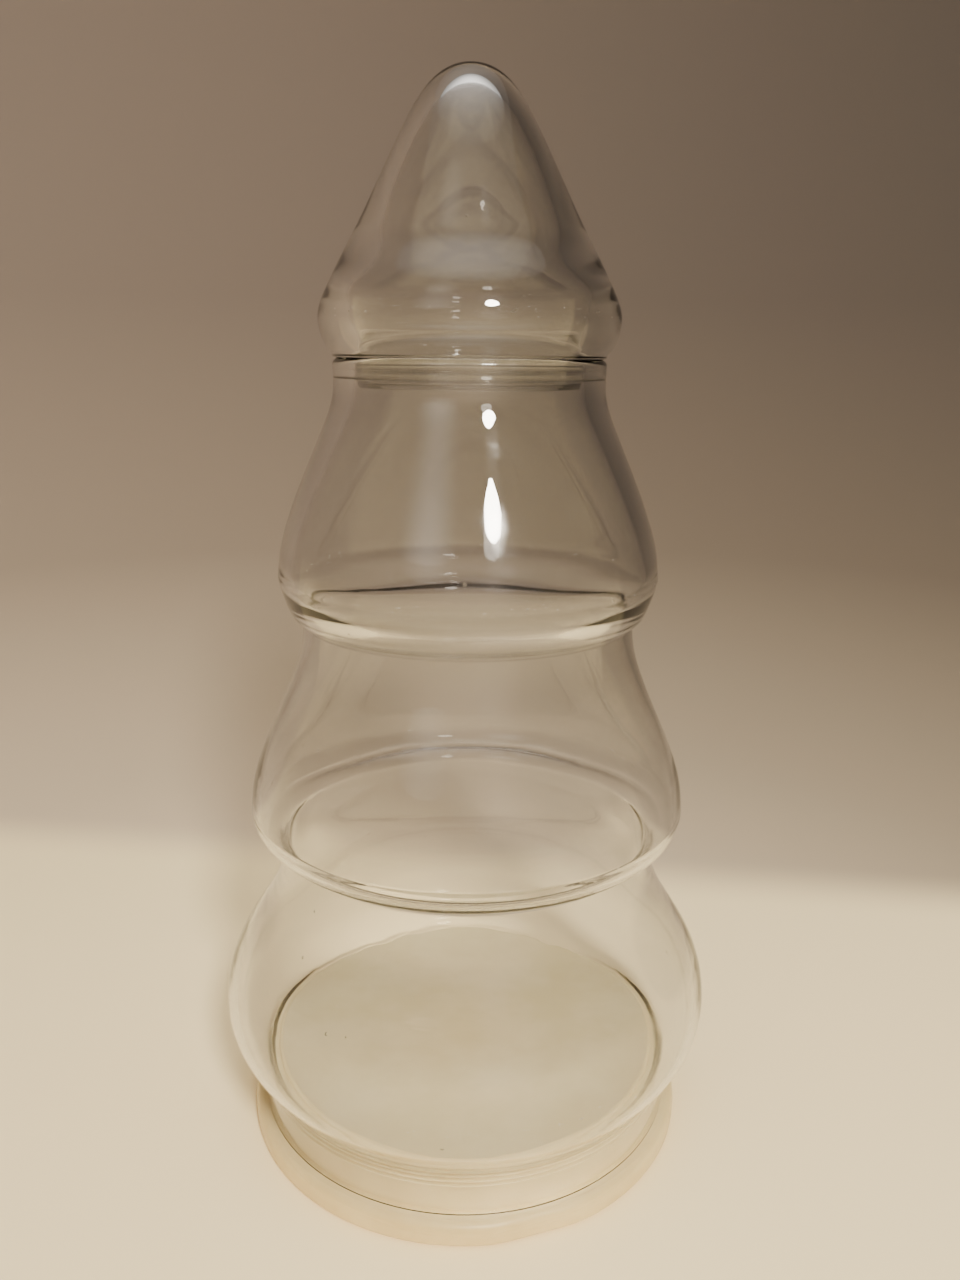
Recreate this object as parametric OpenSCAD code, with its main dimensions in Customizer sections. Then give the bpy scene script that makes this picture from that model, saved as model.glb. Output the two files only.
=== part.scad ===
// Christmas-tree jar: a blown glass body with three flared tiers, a hollow glass lid that
// forms the tip of the tree, and a milky soft-plastic stopper that closes the wide end and
// is the foot. The origin is the centre of the foot, on the surface that the jar stands on.

/* [Foot stopper] */
// Radius of the foot flange
flange_r = 65; // [60:0.5:72]
// Height of the foot flange
flange_h = 7; // [4:0.5:10]
// Height of the stopper's closed top, which is the floor of the jar
floor_z = 21.6; // [16:0.2:24]
// Thickness of the stopper's closed top
floor_t = 2; // [1.2:0.1:3]
// Outer radius of the stopper's skirt between its sealing fins
skirt_r = 58.4; // [54:0.1:59]
// Thickness of the stopper's skirt
skirt_t = 2.4; // [1.6:0.1:4]
// Number of sealing fins round the top of the skirt
fin_count = 4; // [2:1:5]
// Spacing of the sealing fins
fin_pitch = 1.5; // [1.2:0.1:2.4]

/* [Glass body] */
// Outer radius of the straight neck at the wide end
neck_r = 61.75; // [60:0.25:64]
// Height at which the straight neck ends
neck_z = 20; // [18:0.5:24]
// Rim radius of each tier, from the lowest up
rim_r = [71.6, 62, 52]; // [45:0.1:80]
// Rim height of each tier, from the lowest up
rim_z = [40.5, 100.5, 166.5]; // [30:0.5:180]
// Radius of the waist above each tier; the last is the mouth's neck
waist_r = [53.7, 45.7, 36]; // [30:0.1:60]
// Height of the top of the waist above each tier
waist_z = [89.7, 152.9, 214.5]; // [70:0.1:220]
// Radius of the rounded crease between each waist and the tier that overhangs it
crease_r = [3.2, 2.4]; // [0.8:0.1:4]
// Height of the mouth's lip
mouth_z = 223; // [220:0.5:228]
// Glass thickness in the two lower tiers
thin_wall = 2; // [1.6:0.1:3]
// Glass thickness at the mouth
thick_wall = 5.5; // [4:0.1:6]

/* [Lid] */
// Radius of the lid's widest part
lid_rim_r = 39.4; // [37:0.1:42]
// Height of the lid's widest part above the mouth
lid_rim_rise = 10.5; // [8:0.5:14]
// Height of the lid's tip above the mouth
lid_rise = 70; // [60:0.5:80]
// Inner radius of the lid's stopper
plug_bore_r = 26.8; // [24:0.1:27]
// Depth of the lid's stopper below the mouth
plug_depth = 7.5; // [6.5:0.1:9]
// Height of the lid's sealing ring
seal_h = 4; // [3:0.1:5]

/* [Hidden] */
$fn = 96;
fit_gap = 0.06;
edge_r = 0.8;
arc_steps = 3;
under_steps = 6;
shoulder_steps = 8;
// Bezier handle lengths, as shares of the height that each curve spans
under_rim_lead = [0.56, 0.53, 0.27];
shoulder_rim_lead = [0.4, 0.31, 0.32];
shoulder_waist_lead = [0.48, 0.33, 0.14];
neck_lead = 0.15;
fold_waist_lead = 0.4;
fold_rim_lead = 0.45;
// The same for the run out from a crease, as shares of its width
crease_lead = [0.42, 0.21];
// The same for a quarter circle
quarter_lead = 0.55;
// Heights between which the glass thickens towards the mouth
thicken_from = 120;
thicken_to = 215;
neck_bore_r = neck_r - thin_wall;
mouth_bore_r = waist_r[2] - thick_wall;
fin_r = neck_bore_r - fit_gap;
fin_root_t = 0.9;
fin_tip_t = 0.4;
seal_r = mouth_bore_r - fit_gap;
plug_r = mouth_bore_r - 0.9;
groove_r = plug_r - 0.8;
seal_top_z = mouth_z - 1.8;
lid_edge_r = waist_r[2];
glass = [0.82, 0.88, 0.87, 0.35];
milky_plastic = [0.84, 0.82, 0.75, 0.85];
clear_plastic = [0.82, 0.84, 0.82, 0.5];

// Points of a cubic Bezier curve, without its last point
function bezier(a, b, c, d, n) =
    [for (i = [0:n - 1]) let (t = i / n, s = 1 - t)
        s * s * s * a + 3 * s * s * t * b + 3 * s * t * t * c + t * t * t * d];

// Points of an arc about c, both ends included
function arc(c, r, from, to) =
    [for (i = [0:arc_steps]) let (a = from + (to - from) * i / arc_steps)
        c + r * [cos(a), sin(a)]];

// Smooth step from 0 to 1
function ease(u) = let (v = min(1, max(0, u))) v * v * (3 - 2 * v);

// Thickness of the body's glass at height z
function wall_at(z) =
    thin_wall + (thick_wall - thin_wall) * ease((z - thicken_from) / (thicken_to - thicken_from));

// Curve from a to b that leaves a upright and comes to b upright
function upright(a, b, lead_a, lead_b, n) =
    let (h = b.y - a.y)
    bezier(a, a + [0, h * lead_a], b - [0, h * lead_b], b, n);

function rim(i) = [rim_r[i], rim_z[i]];
function waist(i) = [waist_r[i], waist_z[i]];

// Underside of the lowest tier, from the neck up to its rim
neck_flare = upright([neck_r, neck_z], rim(0), neck_lead, under_rim_lead[0], under_steps);

// Crease above waist i and the lip that overhangs it, up to the rim of the next tier,
// moved into the glass by the gap
function lip(i, gap) =
    let (foot = waist(i) - [gap, 0], top = rim(i + 1) - [gap, 0])
    let (ledge = waist(i) + crease_r[i] * [1, 1] + [0, gap], turn = ledge - foot)
    concat(
        bezier(foot, foot + [0, quarter_lead * turn.y],
               ledge - [quarter_lead * turn.x, 0], ledge, arc_steps),
        bezier(ledge, ledge + [crease_lead[i] * (top.x - ledge.x), 0],
               top - [0, under_rim_lead[i + 1] * (top.y - ledge.y)], top, under_steps));

// Shoulder of tier i, from its rim up to the waist above
function shoulder(i) =
    upright(rim(i), waist(i), shoulder_rim_lead[i], shoulder_waist_lead[i], shoulder_steps);

function reversed(points) = [for (i = [len(points) - 1:-1:0]) points[i]];
function inset(points) = [for (p = points) [p.x - wall_at(p.y), p.y]];

// Outer line of the body between its two ends
outer_line = concat(
    neck_flare, shoulder(0), lip(0, 0), shoulder(1), lip(1, 0), shoulder(2), [waist(2)]);

// Inner line, which follows the lower lip but sweeps straight past the upper one
fold_ends = inset([waist(1), rim(2)]);
upper_fold = upright(fold_ends[0], fold_ends[1], fold_waist_lead, fold_rim_lead, under_steps);
inner_line = concat(
    inset(concat(neck_flare, shoulder(0))), lip(0, thin_wall),
    inset(shoulder(1)), upper_fold,
    inset(concat(shoulder(2), [waist(2)])));

module jar_body() {
    color(glass)
        rotate_extrude()
            polygon(concat(
                arc([neck_bore_r + edge_r, flange_h + edge_r], edge_r, 180, 270),
                arc([neck_r - edge_r, flange_h + edge_r], edge_r, 270, 360),
                outer_line,
                arc([waist_r[2] - 2 * edge_r, mouth_z - 2 * edge_r], 2 * edge_r, 0, 90),
                arc([mouth_bore_r + edge_r, mouth_z - edge_r], edge_r, 90, 180),
                reversed(inner_line)));
}

// One half of a sealing fin's outline, from root to tip, at height z
function fin(z) = [
    [skirt_r, z - fin_root_t / 2], [fin_r, z - fin_tip_t / 2],
    [fin_r, z + fin_tip_t / 2], [skirt_r, z + fin_root_t / 2]];

module base_stopper() {
    bore_r = skirt_r - skirt_t;
    top_edge = 1.2;
    flange_top_edge = 2.4;
    flange_foot_edge = 1.6;
    inner_edge = 1.5;
    top_fin_z = floor_z - top_edge - fin_root_t / 2;
    color(milky_plastic)
        rotate_extrude()
            polygon(concat(
                [[0, floor_z - floor_t]],
                arc([bore_r - inner_edge, floor_z - floor_t - inner_edge], inner_edge, 90, 0),
                [[bore_r, 0]],
                arc([flange_r - flange_foot_edge, flange_foot_edge], flange_foot_edge, 270, 360),
                arc([flange_r - flange_top_edge, flange_h - flange_top_edge],
                    flange_top_edge, 0, 90),
                [[skirt_r, flange_h]],
                [for (k = [fin_count - 1:-1:0]) each fin(top_fin_z - k * fin_pitch)],
                arc([skirt_r - top_edge, floor_z - top_edge], top_edge, 0, 90),
                [[0, floor_z]]));
}

module lid() {
    // Where the bulging rim becomes the cone, outside and inside
    cone_out = [28, mouth_z + 34];
    cone_in = [22.9, mouth_z + 29];
    // Run of each cone line for one unit of rise
    slope_out = [-0.52, 1];
    slope_in = [-0.33, 1];
    rim_out = [lid_rim_r, mouth_z + lid_rim_rise];
    rim_in = [31.6, mouth_z + 12];
    tip_out = [0, mouth_z + lid_rise];
    tip_in = [0, mouth_z + lid_rise - 4.6];
    plug_foot = mouth_z - plug_depth;
    seal_foot = seal_top_z - seal_h;
    outside = concat(
        arc([lid_edge_r - edge_r, mouth_z + edge_r], edge_r, 270, 330),
        bezier([lid_edge_r, mouth_z + edge_r], [lid_edge_r + 1.6, mouth_z + 2.4],
               rim_out - [0, 5], rim_out, under_steps),
        bezier(rim_out, rim_out + [0, 4], cone_out - 5.5 * slope_out, cone_out, under_steps),
        bezier(cone_out, cone_out + 24 * slope_out, tip_out + [12, 0], tip_out, 2 * under_steps),
        [tip_out]);
    inside = concat(
        bezier([plug_bore_r, mouth_z - 2], [plug_bore_r, mouth_z + 3],
               rim_in - [0, 6], rim_in, under_steps),
        bezier(rim_in, rim_in + [0, 5.5], cone_in - 6 * slope_in, cone_in, under_steps),
        bezier(cone_in, cone_in + 19 * slope_in, tip_in + [10, 0], tip_in, 2 * under_steps),
        [tip_in]);
    color(glass)
        rotate_extrude()
            polygon(concat(
                arc([plug_bore_r + edge_r, plug_foot + edge_r], edge_r, 180, 270),
                arc([groove_r - 0.3, plug_foot + edge_r], edge_r, 270, 315),
                [[plug_r, seal_foot - 0.6], [plug_r, seal_foot], [groove_r, seal_foot]],
                [[groove_r, seal_top_z], [plug_r, seal_top_z], [plug_r, mouth_z]],
                outside,
                reversed(inside)));
}

module lid_seal() {
    bead = seal_h / 4;
    seal_foot = seal_top_z - seal_h;
    color(clear_plastic)
        rotate_extrude()
            polygon(concat(
                [[groove_r, seal_foot]],
                arc([seal_r - bead, seal_foot + bead], bead, 270, 360),
                [[seal_r - 0.5, seal_foot + 2 * bead]],
                arc([seal_r - bead, seal_top_z - bead], bead, 0, 90),
                [[groove_r, seal_top_z]]));
}

base_stopper();
jar_body();
lid();
lid_seal();
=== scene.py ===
"""Christmas-tree glass jar: each turned CAD piece gets a finer, smoother skin of its own.

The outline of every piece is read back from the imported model's rings, rounded where the
real piece is round, and turned about the jar's axis. Lengths are metres, angles degrees.
"""
import math

import bpy
from mathutils import Matrix, Vector


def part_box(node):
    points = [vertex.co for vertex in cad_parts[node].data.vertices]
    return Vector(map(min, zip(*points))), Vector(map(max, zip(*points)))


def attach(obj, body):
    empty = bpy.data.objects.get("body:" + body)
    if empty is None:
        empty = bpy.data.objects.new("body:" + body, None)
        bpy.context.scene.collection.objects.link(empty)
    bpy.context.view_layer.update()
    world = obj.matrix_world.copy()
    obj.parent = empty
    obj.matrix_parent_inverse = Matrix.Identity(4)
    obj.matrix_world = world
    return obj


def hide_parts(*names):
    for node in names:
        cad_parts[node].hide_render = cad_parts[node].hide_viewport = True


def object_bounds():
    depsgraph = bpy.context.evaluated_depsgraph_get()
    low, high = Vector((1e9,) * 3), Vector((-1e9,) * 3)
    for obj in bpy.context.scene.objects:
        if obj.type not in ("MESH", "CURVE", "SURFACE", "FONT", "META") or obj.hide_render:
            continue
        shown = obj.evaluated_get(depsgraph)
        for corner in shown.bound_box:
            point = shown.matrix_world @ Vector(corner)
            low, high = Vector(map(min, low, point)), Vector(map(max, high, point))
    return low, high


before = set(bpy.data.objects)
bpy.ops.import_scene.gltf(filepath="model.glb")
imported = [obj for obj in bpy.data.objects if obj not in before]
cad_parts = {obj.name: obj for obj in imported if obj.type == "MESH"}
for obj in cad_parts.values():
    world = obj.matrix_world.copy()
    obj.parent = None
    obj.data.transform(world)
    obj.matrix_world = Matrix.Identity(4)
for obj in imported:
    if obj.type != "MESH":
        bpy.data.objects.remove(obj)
CAD_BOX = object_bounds()

MM = 0.001
SEGMENTS = 192
# Ring points closer than this are one point
RING_CELL = 0.04 * MM
# Radii up to this lie on the axis
AXIS_RADIUS = 0.05 * MM
# A turn up to this lies on a straight line
STRAIGHT_DEG = 0.25
# A turn sharper than this stays an edge; a gentler one belongs to a curve
CORNER_DEG = 34
# Largest turn between two rings of a finished curve
RING_TURN_DEG = 4
# A stretch this much longer than its neighbour is a straight one
STRAIGHT_RATIO = 2.5
# Rims closer than this in height are one rim
RIM_SPACING = 10 * MM


# ---------------------------------------------------------------- outlines

def rings_of(mesh):
    """The (radius, height) rings of a turned mesh, and the rings that each one meets."""
    rings, cells, ring_of = [], {}, []
    for vertex in mesh.vertices:
        radius = math.hypot(vertex.co.x, vertex.co.y)
        column, row = round(radius / RING_CELL), round(vertex.co.z / RING_CELL)
        near = [(column + i, row + j) for i in (-1, 0, 1) for j in (-1, 0, 1)]
        found = next((cells[key] for key in near if key in cells), None)
        if found is None:
            found = cells[(column, row)] = len(rings)
            rings.append((radius, vertex.co.z))
        ring_of.append(found)
    meets = [set() for _ in rings]
    for edge in mesh.edges:
        a, b = (ring_of[i] for i in edge.vertices)
        if a != b:
            meets[a].add(b)
            meets[b].add(a)
    return rings, meets


def outline_of(node):
    """The outline of a turned CAD node as (points, closed), in order along its skin."""
    rings, meets = rings_of(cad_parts[node].data)
    ends = [i for i, others in enumerate(meets) if len(others) == 1]
    order = [ends[0] if ends else 0]
    seen = set(order)
    while True:
        onward = [i for i in sorted(meets[order[-1]]) if i not in seen]
        if not onward:
            break
        order.append(onward[0])
        seen.add(onward[0])
    points = [Vector(rings[i]) for i in order]
    closed = not ends
    if not closed:
        for place, end in ((0, points[0]), (len(points), points[-1])):
            if end.x > AXIS_RADIUS:
                points.insert(place, Vector((0, end.y)))
            else:
                end.x = 0
    return without_straight(points, closed), closed


def turn_at(before, here, after):
    """Angle in radians by which a line turns at a point."""
    return (here - before).angle(after - here, 0)


def without_straight(points, closed):
    """Leaves out the points that lie on a straight line between their neighbours."""
    kept = []
    for i, here in enumerate(points):
        if not closed and i in (0, len(points) - 1):
            kept.append(here)
            continue
        turn = turn_at(points[i - 1], here, points[(i + 1) % len(points)])
        if turn > math.radians(STRAIGHT_DEG):
            kept.append(here)
    return kept


def tangent_at(before, here, after):
    """Direction of the curve through a point; None at a corner or an end."""
    if before is None or after is None:
        return None
    back, on = here - before, after - here
    if back.angle(on, 0) > math.radians(CORNER_DEG):
        return None
    if back.length > STRAIGHT_RATIO * on.length:
        return back.normalized()
    if on.length > STRAIGHT_RATIO * back.length:
        return on.normalized()
    return (back.normalized() * on.length + on.normalized() * back.length).normalized()


def tangents_of(points, closed):
    """The tangent at each point. An outline that ends on the axis goes on as its mirror image."""
    count = len(points)
    tangents = []
    for i, here in enumerate(points):
        before = points[i - 1] if closed or i > 0 else None
        after = points[(i + 1) % count] if closed or i < count - 1 else None
        if before is None and here.x == 0:
            before = Vector((-after.x, after.y))
        if after is None and here.x == 0:
            after = Vector((-before.x, before.y))
        tangents.append(tangent_at(before, here, after))
    return tangents


def mirrored(direction, way):
    """The direction at the far end of an even arc that has this one at its near end."""
    return (2 * way * way.dot(direction) - direction).normalized()


def curve_point(start, leave, end, arrive, t):
    """Point at share t of a cubic Hermite curve."""
    reach = (end - start).length
    return (
        start * (2 * t ** 3 - 3 * t ** 2 + 1)
        + leave * reach * (t ** 3 - 2 * t ** 2 + t)
        + end * (3 * t ** 2 - 2 * t ** 3)
        + arrive * reach * (t ** 3 - t ** 2)
    )


def smooth(points, closed):
    """The outline with its curved stretches rounded through the given points."""
    count = len(points)
    tangents = tangents_of(points, closed)
    finished = []
    for i in range(count if closed else count - 1):
        start, end = points[i], points[(i + 1) % count]
        leave, arrive = tangents[i], tangents[(i + 1) % count]
        way = (end - start).normalized()
        if leave is None and arrive is None:
            leave = arrive = way
        elif leave is None:
            leave = mirrored(arrive, way)
        elif arrive is None:
            arrive = mirrored(leave, way)
        turn = leave.angle(way, 0) + way.angle(arrive, 0)
        steps = max(1, math.ceil(turn / math.radians(RING_TURN_DEG)))
        finished += [curve_point(start, leave, end, arrive, k / steps) for k in range(steps)]
    if not closed:
        finished.append(points[-1])
    return finished


def rims_of(node):
    """Heights at which a turned node is widest, seen from the side."""
    points, _ = outline_of(node)
    rims = []
    for i, here in enumerate(points):
        before, after = points[i - 1], points[(i + 1) % len(points)]
        outer = here.x > before.x and here.x > after.x
        if outer and all(abs(here.y - rim) > RIM_SPACING for rim in rims):
            rims.append(here.y)
    return rims


# ---------------------------------------------------------------- pieces

def turned(name, outline, closed, radius_at=None):
    """A mesh object turned from an outline. radius_at(radius, angle) shapes it."""
    points, rows, faces = [], [], []
    for ring in outline:
        radius, height = max(0.0, ring.x), ring.y
        if radius == 0:
            rows.append([len(points)] * SEGMENTS)
            points.append((0, 0, height))
            continue
        rows.append(range(len(points), len(points) + SEGMENTS))
        for k in range(SEGMENTS):
            angle = 2 * math.pi * k / SEGMENTS
            r = radius_at(radius, angle) if radius_at else radius
            points.append((r * math.cos(angle), r * math.sin(angle), height))
    pairs = list(zip(rows, rows[1:]))
    if closed:
        pairs.append((rows[-1], rows[0]))
    for low, high in pairs:
        for k in range(SEGMENTS):
            after = (k + 1) % SEGMENTS
            corners = [low[k], low[after], high[after], high[k]]
            # A corner on the axis comes twice, and counts once
            faces.append(list(dict.fromkeys(corners)))
    mesh = bpy.data.meshes.new(name)
    mesh.from_pydata(points, [], faces)
    face_outwards(mesh)
    mesh.shade_smooth()
    mesh.set_sharp_from_angle(angle=math.radians(CORNER_DEG))
    piece = bpy.data.objects.new(name, mesh)
    bpy.context.scene.collection.objects.link(piece)
    return piece


def face_outwards(mesh):
    """Turns a closed mesh right side out: its volume comes out positive."""
    volume = 0.0
    for polygon in mesh.polygons:
        corners = [mesh.vertices[i].co for i in polygon.vertices]
        for b, c in zip(corners[1:], corners[2:]):
            volume += corners[0].dot(b.cross(c))
    if volume < 0:
        mesh.flip_normals()


def skin(node, name, body, material, radius_at=None):
    """Replaces a CAD node with its finer skin."""
    points, closed = outline_of(node)
    piece = turned(name, smooth(points, closed), closed, radius_at)
    piece.data.materials.append(material)
    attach(piece, body)
    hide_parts(node)


def foot_radius(radius, angle):
    """The soft foot has a shallow flat on its front right, as moulded or worn."""
    flange_from = 61 * MM
    flat_at = math.radians(-72)
    flat_half_width = math.radians(13)
    flat_depth = 0.9 * MM
    if radius < flange_from:
        return radius
    off = (angle - flat_at + math.pi) % (2 * math.pi) - math.pi
    share = max(0.0, 1 - (off / flat_half_width) ** 2) ** 2
    return radius - flat_depth * share


# ---------------------------------------------------------------- materials

class Nodes:
    """The node tree of a material, lamp or world, with short ways to add to it."""

    def __init__(self, owner, shader="Principled BSDF"):
        owner.use_nodes = True
        self.owner = owner
        self.tree = owner.node_tree
        self.shader = self.tree.nodes[shader]

    def fill(self, socket, value):
        """Links a socket, or sets it to a plain value."""
        if isinstance(value, bpy.types.NodeSocket):
            self.tree.links.new(value, socket)
        else:
            socket.default_value = value

    def add(self, kind, inputs=(), **settings):
        node = self.tree.nodes.new(kind)
        for key, value in settings.items():
            setattr(node, key, value)
        for socket, value in dict(inputs).items():
            self.fill(node.inputs[socket], value)
        return node

    def math(self, operation, a, b=0.0):
        return self.add("ShaderNodeMath", {0: a, 1: b}, operation=operation).outputs[0]

    def range(self, value, low, high, to_low, to_high):
        """Smooth step from to_low, at value low, to to_high, at value high."""
        inputs = {"Value": value, "From Min": low, "From Max": high,
                  "To Min": to_low, "To Max": to_high}
        node = self.add("ShaderNodeMapRange", inputs, interpolation_type="SMOOTHSTEP")
        return node.outputs["Result"]

    def mix(self, share, a, b):
        """A colour between a, at share 0, and b, at share 1."""
        node = self.add("ShaderNodeMix", data_type="RGBA")
        inputs = {"Factor": share, "A": a, "B": b}
        for socket in node.inputs:
            if socket.enabled and socket.name in inputs:
                self.fill(socket, inputs[socket.name])
        return next(out for out in node.outputs if out.enabled)

    def ramp(self, value, stops):
        """A colour read off (position, (r, g, b)) stops."""
        node = self.add("ShaderNodeValToRGB", {"Fac": value})
        elements = node.color_ramp.elements
        while len(elements) < len(stops):
            elements.new(0.5)
        for element, (position, colour) in zip(elements, stops):
            element.position = position
            element.color = (*colour, 1)
        return node.outputs["Color"]

    def place(self):
        return self.add("ShaderNodeTexCoord").outputs["Object"]

    def height(self):
        apart = self.add("ShaderNodeSeparateXYZ", {"Vector": self.place()})
        return apart.outputs["Z"]

    def stretched(self, scale):
        inputs = {"Vector": self.place(), "Scale": scale}
        return self.add("ShaderNodeMapping", inputs).outputs["Vector"]

    def noise(self, vector, scale, detail, roughness=0.5):
        inputs = {"Vector": vector, "Scale": scale, "Detail": detail, "Roughness": roughness}
        return self.add("ShaderNodeTexNoise", inputs).outputs["Fac"]

    def bump(self, *layers):
        """Chains (height, distance) layers into one normal."""
        normal = None
        for height, distance in layers:
            inputs = {"Height": height, "Distance": distance}
            if normal is not None:
                inputs["Normal"] = normal
            normal = self.add("ShaderNodeBump", inputs).outputs["Normal"]
        self.link(normal, "Normal")

    def let_lamps_through(self, facing_tint, edge_tint):
        """Lamp light reaches what is behind the glass, less of it through edge-on walls."""
        edge = self.add("ShaderNodeLayerWeight", {"Blend": 0.5}).outputs["Facing"]
        tint = self.ramp(edge, [(0.0, facing_tint), (1.0, edge_tint)])
        clear = self.add("ShaderNodeBsdfTransparent", {"Color": tint})
        path = self.add("ShaderNodeLightPath")
        inputs = {0: path.outputs["Is Shadow Ray"], 1: self.shader.outputs[0], 2: clear.outputs[0]}
        mixed = self.add("ShaderNodeMixShader", inputs)
        surface = self.tree.nodes["Material Output"].inputs["Surface"]
        self.tree.links.new(mixed.outputs[0], surface)

    def link(self, output, socket):
        self.tree.links.new(output, self.shader.inputs[socket])

    def set(self, **values):
        for socket, value in values.items():
            self.shader.inputs[socket.replace("_", " ")].default_value = value


def glass_material(name, rim_heights):
    """Blown soda glass, darker where it is thick: slow waves, drawn rings, haze, rubbed rims."""
    thin_tint = (0.935, 0.935, 0.935, 1)
    thick_tint = (0.845, 0.848, 0.85, 1)
    # The glass thickens between these shares of the jar's height
    thicken_from, thicken_to = 0.22, 0.7
    rub_reach = 4.5 * MM
    polish = 0.012
    wave_depth, ring_depth, seed_depth = 0.35 * MM, 0.012 * MM, 0.15 * MM

    n = Nodes(bpy.data.materials.new(name))
    n.set(IOR=1.5, Transmission_Weight=1.0)
    height = n.height()
    jar_top = CAD_BOX[1][2]
    thicker = n.range(height, thicken_from * jar_top, thicken_to * jar_top, 0.0, 1.0)
    n.link(n.mix(thicker, thin_tint, thick_tint), "Base Color")

    clouds = n.noise(n.place(), scale=38, detail=4, roughness=0.62)
    haze = n.range(clouds, low=0.52, high=0.78, to_low=0.0, to_high=0.09)
    rub = 0.0
    for rim in rim_heights:
        away = n.math("ABSOLUTE", n.math("SUBTRACT", height, rim))
        near = n.range(away, low=0.0, high=rub_reach, to_low=1.0, to_high=0.0)
        rub = n.math("MAXIMUM", rub, near)
    scratches = n.noise(n.stretched((1, 1, 5)), scale=420, detail=5, roughness=0.7)
    scuff = n.range(scratches, low=0.56, high=0.7, to_low=0.0, to_high=0.3)
    rough = n.math("ADD", haze, n.math("MULTIPLY", rub, scuff))
    n.link(n.math("ADD", rough, polish), "Roughness")

    waves = n.noise(n.place(), scale=22, detail=1)
    rings = n.noise(n.stretched((0.02, 0.02, 1)), scale=260, detail=2)
    speck = n.add("ShaderNodeTexVoronoi", {"Vector": n.place(), "Scale": 70.0})
    seeds = n.range(speck.outputs["Distance"], low=0.018, high=0.03, to_low=1.0, to_high=0.0)
    n.bump((waves, wave_depth), (rings, ring_depth), (seeds, seed_depth))
    n.let_lamps_through(facing_tint=(0.90, 0.89, 0.86), edge_tint=(0.20, 0.19, 0.17))
    return n.owner


def milky_material(name):
    """Soft milky plastic: cloudy depth, denser in its flange, satin skin, dull floor."""
    thin_dark, thin_light = (0.63, 0.505, 0.255, 1), (0.71, 0.585, 0.32, 1)
    dense_dark, dense_light = (0.58, 0.455, 0.215, 1), (0.665, 0.54, 0.27, 1)
    # The flange ends, and the floor starts, at these shares of the stopper's height
    flange_to, skirt_from = 0.25, 0.4
    floor_from, floor_full = 0.9, 0.98
    grain_depth, mark_depth = 0.02 * MM, 0.015 * MM

    n = Nodes(bpy.data.materials.new(name))
    n.set(IOR=1.5, Transmission_Weight=0.1, Specular_IOR_Level=0.3)
    n.set(Subsurface_Weight=0.4, Subsurface_Radius=(1.0, 0.9, 0.7), Subsurface_Scale=4 * MM)
    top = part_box("base_stopper")[1][2]
    height = n.height()
    clouds = n.noise(n.place(), scale=45, detail=4, roughness=0.6)
    cloud = n.range(clouds, low=0.3, high=0.75, to_low=0.0, to_high=1.0)
    thin = n.mix(cloud, thin_dark, thin_light)
    dense = n.mix(cloud, dense_dark, dense_light)
    above_flange = n.range(height, flange_to * top, skirt_from * top, 0.0, 1.0)
    n.link(n.mix(above_flange, dense, thin), "Base Color")

    patches = n.noise(n.place(), scale=160, detail=3)
    satin = n.range(patches, low=0.3, high=0.8, to_low=0.3, to_high=0.46)
    dull = n.range(height, floor_from * top, floor_full * top, to_low=0.0, to_high=0.3)
    n.link(n.math("ADD", satin, dull), "Roughness")

    marks = n.noise(n.stretched((0.05, 0.05, 1)), scale=700, detail=2)
    grain = n.noise(n.place(), scale=900, detail=3)
    n.bump((grain, grain_depth), (marks, mark_depth))
    return n.owner


def seal_material(name):
    """Clear soft plastic of the lid's ring, a little cloudy."""
    grain_depth = 0.02 * MM
    n = Nodes(bpy.data.materials.new(name))
    n.set(Base_Color=(0.975, 0.97, 0.95, 1), IOR=1.49, Transmission_Weight=1.0)
    patches = n.noise(n.place(), scale=300, detail=3)
    n.link(n.range(patches, low=0.3, high=0.8, to_low=0.02, to_high=0.12), "Roughness")
    n.bump((n.noise(n.place(), scale=400, detail=2), grain_depth))
    n.let_lamps_through(facing_tint=(0.90, 0.89, 0.86), edge_tint=(0.40, 0.39, 0.36))
    return n.owner


# ---------------------------------------------------------------- stage

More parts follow.
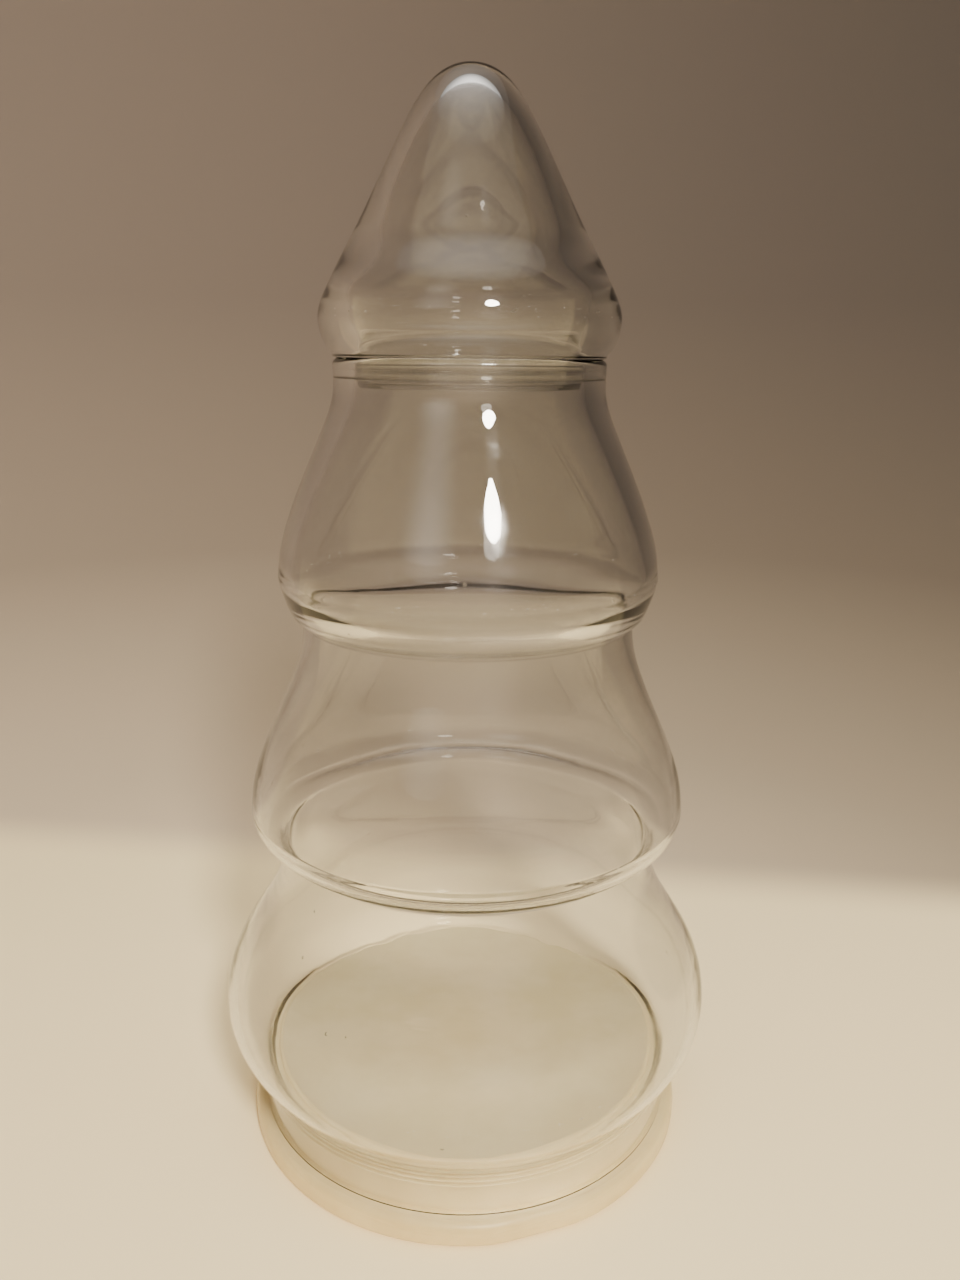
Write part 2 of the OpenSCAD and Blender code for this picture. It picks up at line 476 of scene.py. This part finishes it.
def cove_paint():
    """Cream table that turns into a warm grey wall, with painted light and shade: lighter to the
    left and in front, darker outward and upward.
    """
    table = (0.97, 0.81, 0.48, 1)
    # The table ends here behind the jar, along a line that slants away to the left
    table_edge, wall_from, edge_slant = 0.125, 0.17, 0.14
    # Painted shade: the wall darkens with distance from the axis and with height
    reach_share, height_share, wall_start = 0.65, 0.88, 0.09
    wall_colours_and_shade = [
        (0.02, (0.54, 0.445, 0.31)),
        (0.35, (0.212, 0.168, 0.121)),
        (0.68, (0.14, 0.109, 0.084)),
        (0.95, (0.13, 0.102, 0.081)),
    ]
    # Painted light and shade: the wall is lighter to the left and darker to the right
    side, left_gain, right_gain = 0.9, 1.75, 0.38
    # Painted light, the wall lighter in front: -1 is straight in front of the jar, and 1 straight
    # behind it
    front_full, front_end, front_gain = -1.0, -0.72, 2.4
    # The table also ends where the cove rises between these heights
    rise_from, rise_to = 0.02, 0.25
    grain_depth = 0.03 * MM

    n = Nodes(bpy.data.materials.new("cove_paint"))
    n.set(Roughness=0.7)
    apart = n.add("ShaderNodeSeparateXYZ", {"Vector": n.place()})
    across, deep, height = apart.outputs
    flat = n.add("ShaderNodeCombineXYZ", {"X": across, "Y": deep})
    length = n.add("ShaderNodeVectorMath", {0: flat.outputs[0]}, operation="LENGTH")
    reach = length.outputs["Value"]
    # Painted shade: the wall's colour darkens outward and upward
    outward = n.math("MULTIPLY", reach, reach_share)
    up = n.math("ADD", outward, n.math("MULTIPLY", height, height_share))
    shaded_wall_colour = n.ramp(n.math("SUBTRACT", up, wall_start), wall_colours_and_shade)

    # Painted light: the wall's colour is scaled up to the left and in front, and down to the right
    painted_light_left = n.range(across, -side, side, left_gain, right_gain)
    behind_jar = n.math("DIVIDE", deep, reach)
    painted_light_front = n.range(behind_jar, front_full, front_end, front_gain, 1.0)
    gain = n.math("MULTIPLY", painted_light_left, painted_light_front)
    wall = n.add("ShaderNodeVectorMath", {0: shaded_wall_colour, 1: gain}, operation="MULTIPLY")

    to_edge = n.math("ADD", deep, n.math("MULTIPLY", across, edge_slant))
    past_edge = n.range(to_edge, table_edge, wall_from, 0.0, 1.0)
    raised = n.range(height, rise_from, rise_to, 0.0, 1.0)
    off_table = n.math("MAXIMUM", past_edge, raised)
    n.link(n.mix(off_table, table, wall.outputs["Vector"]), "Base Color")
    n.bump((n.noise(n.place(), scale=500, detail=3), grain_depth))
    return n.owner


def cove():
    """A pale floor that curves up into a wall all round the jar."""
    floor_r, sweep_r, wall_h = 0.3, 0.6, 1.4
    sweep_steps = 30
    # Just under the foot, so that the two faces do not share a plane
    below = 0.05 * MM
    outline = [Vector((0, -below))]
    for k in range(sweep_steps + 1):
        angle = math.radians(90 / sweep_steps * k)
        radius = floor_r + sweep_r * math.sin(angle)
        outline.append(Vector((radius, sweep_r * (1 - math.cos(angle)) - below)))
    outline.append(Vector((floor_r + sweep_r, wall_h)))
    backdrop = turned("cove", outline, closed=False)
    backdrop.data.flip_normals()
    backdrop.data.materials.append(cove_paint())


def area_light(name, place, target, size, watts, colour, soft):
    """A lamp that the camera does not see. A soft one fades out towards its own edge."""
    data = bpy.data.lights.new(name, "AREA")
    data.shape = "ELLIPSE"
    data.size, data.size_y = size
    data.energy = watts
    data.color = colour
    if soft:
        n = Nodes(data, "Emission")
        spot = n.add("ShaderNodeNewGeometry").outputs["Parametric"]
        middle = (0.5, 0.5, 0)
        off = n.add("ShaderNodeVectorMath", {0: spot, 1: middle}, operation="DISTANCE")
        fade = n.range(off.outputs["Value"], low=0.0, high=0.5, to_low=1.0, to_high=0.0)
        n.link(fade, "Strength")
    lamp = bpy.data.objects.new(name, data)
    lamp.location = place
    lamp.rotation_mode = "QUATERNION"
    lamp.rotation_quaternion = (Vector(target) - Vector(place)).to_track_quat("-Z", "Y")
    lamp.visible_camera = False
    bpy.context.scene.collection.objects.link(lamp)
    return lamp


def lights():
    """A bright lamp at the front right, two wide soft ones above and a low one at the left."""
    warm, neutral = (1.0, 0.92, 0.80), (1.0, 0.95, 0.88)
    tier, middle = (0, 0, 0.19), (0, 0, 0.15)
    overhead = (2.6, 2.6)
    area_light("key", place=(0.22, -0.766, 0.70), target=tier, size=(0.15, 0.19),
               watts=17, colour=warm, soft=False)
    area_light("top", place=(0, 0, 1.7), target=middle, size=overhead,
               watts=16, colour=neutral, soft=True)
    # Kept out of reflections, so that the glass shows only the fainter lamp just below it
    fill = area_light("fill", place=(0, 0, 1.72), target=middle, size=overhead,
                      watts=33, colour=neutral, soft=True)
    fill.visible_glossy = False
    area_light("left", place=(-0.36, -0.72, 0.62), target=middle, size=(0.6, 0.9),
               watts=2.2, colour=neutral, soft=True)
    n = Nodes(bpy.data.worlds.new("room"), "Background")
    n.set(Color=(1.0, 0.93, 0.84, 1), Strength=0.3)
    bpy.context.scene.world = n.owner


def camera():
    """Just above the seam of the lid, close in front, tilted down along the jar."""
    place = (0, -0.2824, 0.2234)
    tilt_down, turn_right, roll = 15.29, 0.69, 0.53
    data = bpy.data.cameras.new("camera")
    data.lens = 29.1
    data.sensor_width = 36
    data.clip_start = 0.01
    view = bpy.data.objects.new("camera", data)
    turn = Matrix.Rotation(math.radians(-turn_right), 4, "Z")
    tilt = Matrix.Rotation(math.radians(90 - tilt_down), 4, "X")
    lean = Matrix.Rotation(math.radians(roll), 4, "Z")
    view.matrix_world = Matrix.Translation(place) @ turn @ tilt @ lean
    bpy.context.scene.collection.objects.link(view)
    bpy.context.scene.camera = view


camera()
cove()
lights()
jar_glass = glass_material("jar_glass", rims_of("jar_body"))
lid_glass = glass_material("lid_glass", rims_of("lid"))
milky = milky_material("milky_plastic")
clear_plastic = seal_material("seal_plastic")
skin("base_stopper", "stopper_skin", "stopper", milky, foot_radius)
skin("jar_body", "jar_skin", "jar", jar_glass)
skin("lid", "lid_skin", "lid", lid_glass)
skin("lid_seal", "seal_skin", "lid", clear_plastic)
